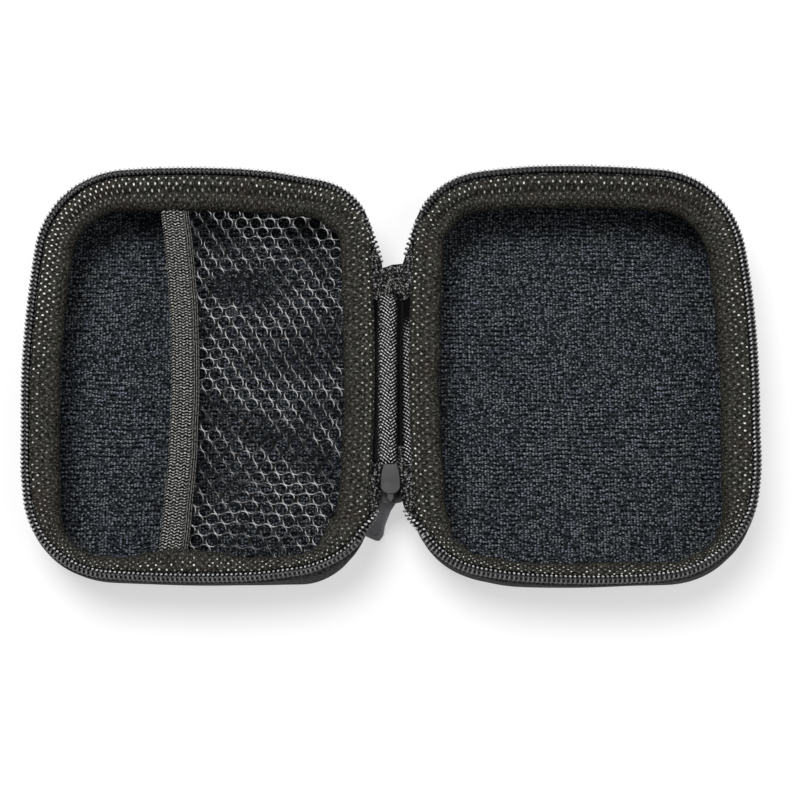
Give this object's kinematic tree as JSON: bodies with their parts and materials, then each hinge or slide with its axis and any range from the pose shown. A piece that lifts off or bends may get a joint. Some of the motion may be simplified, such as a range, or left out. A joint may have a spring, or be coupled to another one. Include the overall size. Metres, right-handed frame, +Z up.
{
  "type": "zip-up hard case",
  "caption": "Small semi-rigid zip-up case, open flat: moulded base tray, lid tray with a net pocket, fabric spine, zipper chain round both rims, slider with a pull.",
  "frame": {"origin": "on the surface that the open case lies on, midway between the two halves", "axes": "+X from the lid half to the base half, +Y along the spine away from the slider, +Z up"},
  "size_m": [0.2046, 0.119, 0.0237],
  "materials": {
    "shell": "closed-cell foam with a matte woven face",
    "lining": "matte warp knit",
    "binding": "embossed nonwoven with glossy points",
    "webbing": "herringbone webbing",
    "tape": "knitted zipper tape",
    "coil": "glossy nylon monofilament",
    "net": "knitted polyester net",
    "elastic": "woven elastic",
    "slider_metal": "matte grey paint",
    "pull_metal": "matte dark grey paint"
  },
  "bodies": {
    "base": {"base_shell": "shell", "base_lining": "lining", "base_binding": "binding", "base_hinge_hem": "webbing", "base_zipper_tape": "tape", "base_zipper_coil": "coil", "base_chain_end_at_slider": "coil", "base_chain_end_at_tab": "coil"},
    "spine": {"hinge_webbing": "webbing", "hinge_backing": "webbing", "hinge_end_tab": "tape", "joined_chain_teeth": "coil", "joined_chain_tape": "tape"},
    "lid": {"lid_shell": "shell", "lid_lining": "lining", "lid_binding": "binding", "lid_hinge_hem": "webbing", "lid_zipper_tape": "tape", "lid_zipper_coil": "coil", "lid_chain_end_at_slider": "coil", "lid_chain_end_at_tab": "coil", "pocket_net": "net", "pocket_elastic": "elastic"},
    "slider": {"slider_body": "slider_metal", "slider_bail": "slider_metal"},
    "pull": {"pull_tab": "pull_metal"}
  },
  "joints": [
    {"name": "spine_fold", "type": "hinge", "parent": "base", "child": "spine", "pos_m": [0.004, 0, 0.019], "axis": [0, 1, 0], "range_deg": [0, 90], "deforming": ["base_chain_end_at_slider", "base_chain_end_at_tab"]},
    {"name": "lid_fold", "type": "hinge", "parent": "spine", "child": "lid", "pos_m": [-0.004, 0, 0.019], "axis": [0, 1, 0], "range_deg": [0, 90], "deforming": ["lid_chain_end_at_slider", "lid_chain_end_at_tab"]},
    {"name": "slider_travel", "type": "slide", "parent": "spine", "child": "slider", "axis": [0, -1, 0], "range_m": [0, 0.003]},
    {"name": "pull_swing", "type": "hinge", "parent": "slider", "child": "pull", "pos_m": [0, -0.03199, 0.0129], "axis": [0.9135, -0.4067, 0], "range_deg": [-12, 70]}
  ]
}
